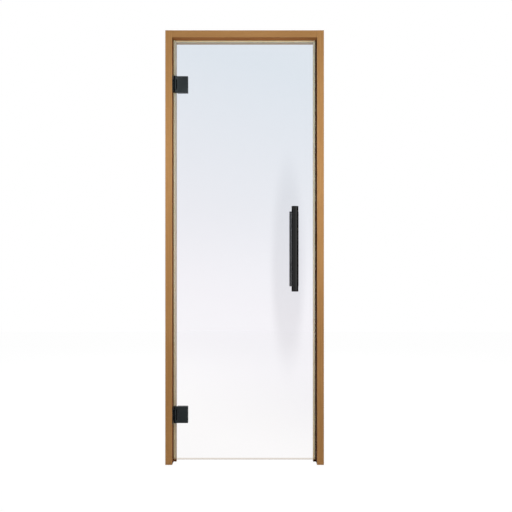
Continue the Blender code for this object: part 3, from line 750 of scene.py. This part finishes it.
def seal_shell(place, stations, shade):
    """The seal's section carried from one station to the other, closed at both ends.

    Its flank toward the stop's edge is marked for painted shade, as strongly as shade says.
    """
    bulb, hollow, foot = seal_section()
    u, v = np.concatenate([bulb, hollow, foot]).T
    columns, arc = len(u), len(bulb)
    points = np.stack([np.stack(place(u, v, np.full(columns, w)), axis=-1) for w in stations])
    inner = np.arange(arc, 2 * arc)
    rest = np.arange(2 * arc, columns)
    outer = np.concatenate([np.arange(arc), rest])
    faces = []
    for loop in (outer, inner):
        near = np.stack([loop, np.roll(loop, -1)], axis=1)
        faces += np.hstack([near, near[:, ::-1] + columns]).tolist()
    wall = np.stack([np.arange(arc - 1), np.arange(1, arc)], axis=1)
    wall = np.hstack([wall, wall[:, ::-1] + arc])
    flat = np.concatenate([[arc - 1], rest, [0, arc, 2 * arc - 1]])
    for start in (0, columns):
        faces += (wall + start).tolist()
        faces.append((flat + start).tolist())
    # Painted shade mark: it fades in across the flank toward the stop's edge
    flank = shade * ((u - FLANK_START) / FLANK_FADE).clip(0, 1)
    return {"points": points, "faces": faces, "rabbet": np.tile(flank, 2)}


def make_seals():
    """Seals in the rabbet. The latch side's is narrower and keeps to its stop's inner edge.

    For each a short function turns u, v and the length into the three coordinates.
    """
    shoulder = low("hinge_jamb")[1] + RABBET_DEPTH
    width, top = cad_box[1][0] - FACE_WIDTH, cad_box[1][2] - FACE_WIDTH

    def hinge_side(u, v, w):
        return FACE_WIDTH + u, shoulder - v, w

    def latch_side(u, v, w):
        return width - STOP_WIDTH + LATCH_SEAL_SHARE * (STOP_WIDTH - u), shoulder - v, w

    def head(u, v, w):
        return w, shoulder - v, top - u

    for side, place, along, shade in (("hinge_side", hinge_side, 2, 1.0),
                                      ("latch_side", latch_side, 2, 0.0), ("head", head, 0, 1.0)):
        node = f"seal_{side}"
        shell = seal_shell(place, (low(node)[along], high(node)[along]), shade)
        make_piece(f"{node}_strip", [shell], SILICONE, "frame", [node])


def socket_bolt(head, shank, rim, key, key_depth, length, axis, centre):
    """A countersunk bolt with a six-sided socket, its face at the centre given.

    At angle a the socket's radius is key / (2 cos b), where b is the angle from the
    middle of the nearest flat. The rows run from the socket's floor, over the face
    and down the cone, to the shank's end.
    """
    angle = np.linspace(0, 2 * math.pi, BOLT_SIDES, endpoint=False)
    flat = np.mod(angle, math.pi / 3) - math.pi / 6
    socket = key / (2 * np.cos(flat))
    whole = np.ones(BOLT_SIDES)
    ease = BOLT_RIM / 3
    rows = [
        (0 * whole, -key_depth),
        (socket, -key_depth),
        (socket, -ease),
        (socket + ease, 0),
        ((head - ease) * whole, 0),
        (head * whole, -ease),
        (head * whole, -rim),
        (shank * whole, -rim - head + shank),
        (shank * whole, -length),
        (0 * whole, -length),
    ]
    points = np.stack([np.stack([radius * np.cos(angle), radius * np.sin(angle), height * whole],
                                axis=-1) for radius, height in rows])
    return {"points": laid(points, axis, centre),
            "faces": quads(len(rows), BOLT_SIDES).reshape(-1, 4).tolist()}


def make_pin(name):
    """Hinge pin: a low round head on the upper lug and a shank down through the knuckles."""
    node = f"{name}_pin"
    x, y, _ = middle(node)
    bottom, top = low(node)[2], high(node)[2]
    head = high(node)[0] - x
    seat = high(f"{name}_outer_plate")[2] + SEAT_GAP
    corners = [(0, top), (head, top), (head, seat), (PIN_SHANK_RADIUS, seat),
               (PIN_SHANK_RADIUS, bottom), (0, bottom)]
    profile, mask = eased(corners, [0, PIN_EASE, 0, 0, PIN_EASE, 0])
    shell = lathed(profile, "+Z", (x, y, 0), BOLT_SIDES, mask)
    make_piece(f"{name}_pin_turned", [shell], STEEL, "leaf", [node])


def make_clamp_bolts(name):
    """The two bolts through the clamp plates, with their heads inside."""
    for label in ("upper", "lower"):
        node = f"{name}_bolt_{label}"
        x, _, z = middle(node)
        face = high(node)[1]
        shell = socket_bolt(BOLT_HEAD_RADIUS, BOLT_SHANK_RADIUS, BOLT_RIM, BOLT_KEY,
                            BOLT_KEY_DEPTH, face - low(node)[1], "+Y", (x, face, z))
        make_piece(f"{name}_key_bolt_{label}", [shell], STEEL, "leaf", [node])


def make_flange_screws(name):
    """Four screws through the bracket's flange into the jamb."""
    flange = low(f"{name}_bracket")
    face = flange[0] + FLANGE_THICKNESS
    level = middle(f"{name}_bracket")[2]
    screws = [socket_bolt(SCREW_HEAD_RADIUS, SCREW_SHANK_RADIUS, 0, SCREW_KEY, SCREW_KEY_DEPTH,
                          SCREW_LENGTH, "+X", (face, flange[1] + SCREW_INSET + column, level + row))
              for column in (0, SCREW_COLUMNS) for row in (-SCREW_ROWS / 2, SCREW_ROWS / 2)]
    make_piece(f"{name}_flange_screws", screws, STEEL, "frame")


def make_hinges():
    """Bracket and clamp plates with eased edges, pin, clamp bolts and flange screws."""
    for name in ("hinge_upper", "hinge_lower"):
        for part, body in (("bracket", "frame"), ("outer_plate", "leaf"), ("inner_plate", "leaf")):
            node = f"{name}_{part}"
            item = merged_copy(f"{node}_eased", node)
            ease_edges(item, PLATE_EASE)
            finish_piece(item, HINGE_BLACK, body, [node])
        make_pin(name)
        make_clamp_bolts(name)
        make_flange_screws(name)


def make_pull():
    """The round pull: a tube with a wall, and a cap with a soft rim in each end."""
    node = "handle_tube"
    x, y, _ = middle(node)
    radius = high(node)[0] - x
    bore = radius - PULL_WALL
    bottom, top = low(node)[2], high(node)[2]
    profile, mask = eased([(radius, top), (radius, bottom), (bore, bottom), (bore, top)],
                          [PULL_EASE] * 4)
    shell = lathed(profile, "+Z", (x, y, 0), PULL_SIDES, mask)
    make_piece("pull_tube", [shell], PULL_BLACK, "leaf", [node])
    for level, axis, end, way in (("upper", "+Z", top, 1), ("lower", "-Z", bottom, -1)):
        cap = f"handle_cap_{level}"
        seat = end + way * SEAT_GAP
        outer = high(cap)[2] if way > 0 else low(cap)[2]
        thick = abs(outer - seat)
        plug = high(cap)[2] - low(cap)[2] - thick
        inner = bore - SEAT_GAP
        corners = [(0, thick), (radius, thick), (radius, 0), (inner, 0), (inner, -plug), (0, -plug)]
        profile, mask = eased(corners, [0, CAP_EASE, PULL_EASE, 0, PULL_EASE, 0])
        shell = lathed(profile, axis, (x, y, seat), PULL_SIDES, mask)
        make_piece(f"pull_cap_{level}", [shell], PULL_BLACK, "leaf", [cap])


def make_grip():
    """The flat grip: a rounded section along Z that draws in over a quarter round at each end.

    At angle b of that quarter round the section is inset by r (1 - cos b) and lies
    r (1 - sin b) short of the end.
    """
    node = "handle_grip"
    half = (high(node) - low(node)) / 2
    corners = [(-half[0], -half[1]), (half[0], -half[1]), (half[0], half[1]), (-half[0], half[1])]
    section, _ = eased(corners, [GRIP_EASE] * 4, GRIP_STEPS)
    turn = np.linspace(0, math.pi / 2, GRIP_END_STEPS + 1)
    inset = GRIP_END_EASE * (1 - np.cos(turn))
    rise = half[2] - GRIP_END_EASE * (1 - np.sin(turn))
    inset = np.concatenate([inset[::-1], inset])
    rise = np.concatenate([-rise[::-1], rise])
    flat = section * (1 - inset[:, None, None] / half[:2])
    rows, columns = flat.shape[:2]
    points = np.concatenate([flat, np.broadcast_to(rise[:, None, None], (rows, columns, 1))], axis=2)
    ring = np.arange(columns)
    ends = [ring.tolist(), (ring + (rows - 1) * columns).tolist()]
    shell = {"points": points + middle(node),
             "faces": quads(rows, columns).reshape(-1, 4).tolist() + ends}
    make_piece("grip_bar", [shell], GRIP_BLACK, "leaf", [node])


def post_shell(foot, length, axis, centre):
    """A post with a wider foot, its far end closed by rings that shrink to the axis."""
    corners = [(0, 0), (foot, 0), (foot, POST_FOOT_HEIGHT), (POST_RADIUS, POST_FOOT_HEIGHT),
               (POST_RADIUS, length), (0, length)]
    profile, mask = eased(corners, [0, PULL_EASE, POST_FOOT_EASE, POST_FILLET, 0, 0])
    rings = np.linspace(1, 0, POST_END_RINGS + 2)[1:-1]
    end = np.stack([POST_RADIUS * rings, np.full(len(rings), length)], axis=1)
    corner = len(profile) - len(profile) // len(corners)
    profile = np.insert(profile, corner, end, axis=0)
    mask = np.insert(mask, corner, np.zeros(len(rings)))
    return lathed(profile, axis, centre, POST_SIDES, mask)


def make_posts():
    """Posts and washers. An outer post's end is hollowed to sit on the pull's tube.

    There its depth is no less than the tube axis's plus sqrt(R^2 - x^2), where R is
    the tube's radius and x the sideways distance from the axis.
    """
    tube = middle("handle_tube")
    reach = high("handle_tube")[0] - tube[0] + SEAT_GAP
    for level in ("upper", "lower"):
        node = f"handle_post_outer_{level}"
        x, _, z = middle(node)
        seat, foot = high(node)[1], high(node)[0] - x
        shell = post_shell(foot, seat - tube[1], "-Y", (x, seat, z))
        aside = shell["points"][..., 0] - x
        saddle = tube[1] + np.sqrt(reach ** 2 - aside ** 2)
        shell["points"][..., 1] = np.maximum(shell["points"][..., 1], saddle)
        make_piece(f"pull_post_{level}", [shell], PULL_BLACK, "leaf", [node])
        node = f"handle_post_inner_{level}"
        seat = low(node)[1]
        shell = post_shell(foot, high(node)[1] - seat, "+Y", (x, seat, z))
        make_piece(f"grip_post_{level}", [shell], PULL_BLACK, "leaf", [node])
        for face in ("outer", "inner"):
            node = f"handle_washer_{face}_{level}"
            bottom, top = low(node)[1], high(node)[1]
            rim = high(node)[0] - x
            corners = [(WASHER_BORE, top), (rim, top), (rim, bottom), (WASHER_BORE, bottom)]
            profile, mask = eased(corners, [0, PULL_EASE, PULL_EASE, 0])
            shell = lathed(profile, "+Y", (x, 0, z), POST_SIDES, mask)
            make_piece(f"washer_{face}_{level}", [shell], RUBBER, "leaf", [node])


def dress_solids():
    """Materials of the nodes that show as they are. Glass lets the lamps' light through."""
    looks = {"frame_wood": HINGE_SIDE_WOOD, "seal_silicone": SILICONE, "leaf_glass": GLASS,
             "black_metal": HINGE_BLACK, "black_rubber": RUBBER, "dark_steel": STEEL,
             "grip_wood": GRIP_BLACK}
    for row in frame["record"]["subparts"]:
        for slot in frame["nodes"][row["node"]].material_slots:
            slot.link = "OBJECT"
            slot.material = looks[row["material_slot"]]
    pane = frame["nodes"]["glass_pane"]
    pane.visible_shadow = False
    pane.visible_diffuse = False


def make_camera():
    """The eye: level and straight on, its view as wide as named at the frame's front."""
    lens = bpy.data.cameras.new("camera")
    lens.sensor_width = SENSOR
    lens.lens = SENSOR * EYE_DISTANCE / VIEW_WIDTH
    camera = bpy.data.objects.new("camera", lens)
    centre = (np.array(cad_box[0]) + np.array(cad_box[1])) / 2
    camera.location = (centre[0] + EYE_ASIDE, low("hinge_jamb")[1] - EYE_DISTANCE,
                       centre[2] - EYE_BELOW)
    camera.rotation_euler = (math.pi / 2, 0, 0)
    bpy.context.scene.collection.objects.link(camera)
    bpy.context.scene.camera = camera


def seen_straight(tree):
    """1 for the camera's rays and for those that have come through glass."""
    path = add(tree, "LightPath").outputs
    return calc(tree, "MAXIMUM", path["Is Camera Ray"], path["Is Transmission Ray"]), path


def make_floor():
    """A pale floor that keeps a soft shadow, plainer to other rays than to the eye, and not seen in
    gloss.
    """
    half = FLOOR_SIZE / 2
    z = cad_box[0][2]
    mesh = bpy.data.meshes.new("floor")
    mesh.from_pydata([(-half, -half, z), (half, -half, z), (half, half, z), (-half, half, z)],
                     [], [(0, 1, 2, 3)])
    floor = bpy.data.objects.new("floor", mesh)
    bpy.context.scene.collection.objects.link(floor)
    made, tree, shader, _ = new_material("floor_white")
    tree.nodes.remove(shader)
    shade = add(tree, "BsdfDiffuse", {"Color": (FLOOR_SHADE, FLOOR_SHADE, FLOOR_SHADE, 1.0)})
    glow = add(tree, "Emission", {"Strength": FLOOR_GLOW})
    seen = add(tree, "AddShader", {0: shade.outputs[0], 1: glow.outputs[0]})
    lit = add(tree, "BsdfDiffuse", {"Color": (FLOOR_TONE, FLOOR_TONE, FLOOR_TONE, 1.0)})
    straight, _ = seen_straight(tree)
    shown = add(tree, "MixShader", {0: straight, 1: lit.outputs[0], 2: seen.outputs[0]})
    feed(tree, tree.nodes["Material Output"], {"Surface": shown.outputs[0]})
    mesh.materials.append(made)
    floor.visible_glossy = False


def front_gloss(tree, aside, toward, rise):
    """What gloss sees in front: soft lights to both sides, stronger to the right and above.

    It is the product of a level by the turn from straight ahead, one by the side,
    two by the height, and one that falls off to dark at the ends. A narrow upright
    shade stands in its middle, an ellipse with a soft edge.
    """
    angle = calc(tree, "ARCTAN2", aside, toward)
    turn = calc(tree, "ABSOLUTE", calc(tree, "ADD", angle, GLOSS_TURN))
    level = between(tree, turn, *GLOSS_APART)
    for value, ramp in ((angle, GLOSS_ASIDE), (rise, GLOSS_LOW), (rise, GLOSS_HIGH),
                        (turn, GLOSS_END)):
        level = calc(tree, "MULTIPLY", level, between(tree, value, *ramp))
    across = calc(tree, "DIVIDE", calc(tree, "SUBTRACT", angle, SHADE_ASIDE), SHADE_HALF_WIDTH)
    upward = calc(tree, "DIVIDE", calc(tree, "ADD", rise, SHADE_DOWN), SHADE_HALF_HEIGHT)
    shade = add(tree, "CombineXYZ", {0: across, 1: upward}).outputs[0]
    shade = add(tree, "VectorMath", {0: shade}, operation="LENGTH").outputs["Value"]
    return calc(tree, "MULTIPLY", level, between(tree, shade, *SHADE_EDGE))


def make_world():
    """White to the eye and behind the door, soft light all round, its front seen in gloss."""
    world = bpy.context.scene.world or bpy.data.worlds.new("world")
    bpy.context.scene.world = world
    world.use_nodes = True
    tree = world.node_tree
    tree.nodes.clear()
    direction = add(tree, "TexCoord").outputs["Generated"]
    aside, behind, rise = add(tree, "SeparateXYZ", {0: direction}).outputs
    toward = calc(tree, "MULTIPLY", behind, -1.0)
    gloss = calc(tree, "MAXIMUM", front_gloss(tree, aside, toward, rise),
                 between(tree, behind, *BACK_GLOSS))
    soft = between(tree, toward, *SOFT_LIGHT)
    straight, path = seen_straight(tree)
    level = mixed(tree, path["Is Glossy Ray"], soft, gloss)
    level = mixed(tree, straight, level, (1, 1, 1, 1))
    light = add(tree, "Background", {"Color": level, "Strength": 1.0})
    out = tree.nodes.new("ShaderNodeOutputWorld")
    feed(tree, out, {"Surface": light.outputs[0]})


def make_lamp(name, place, aim, size, energy, colour=(1.0, 1.0, 1.0)):
    """A soft lamp of a width and height that lights without showing in glass or gloss."""
    light = bpy.data.lights.new(name, "AREA")
    light.shape = "RECTANGLE"
    light.size, light.size_y = size
    light.energy = energy
    light.color = colour
    lamp = bpy.data.objects.new(name, light)
    lamp.location = place
    away = np.array(place, dtype=float) - np.array(aim, dtype=float)
    flat = math.hypot(away[0], away[1])
    lamp.rotation_euler = (math.atan2(flat, away[2]), 0, math.atan2(away[0], -away[1]))
    lamp.visible_glossy = False
    lamp.visible_transmission = False
    lamp.visible_camera = False
    bpy.context.scene.collection.objects.link(lamp)


make_camera()
dress_solids()
make_frame()
make_seals()
make_hinges()
make_pull()
make_grip()
make_posts()
make_floor()
make_world()
make_lamp("key", place=(0.50, -0.945, 0.36), aim=(0.50, 0.0, 0.36), size=(1.4, 0.3),
          energy=7.4, colour=(0.86, 1.02, 1.30))
make_lamp("front_fill", place=(1.1, -3.5, 0.1), aim=(0.345, 0.0, 0.0), size=(0.8, 0.8),
          energy=20.0)
make_lamp("back_fill", place=(0.345, 3.6, 2.0), aim=(0.345, 0.0, 0.0), size=(2.5, 2.5),
          energy=44.0)
bpy.context.scene.view_settings.view_transform = "Standard"
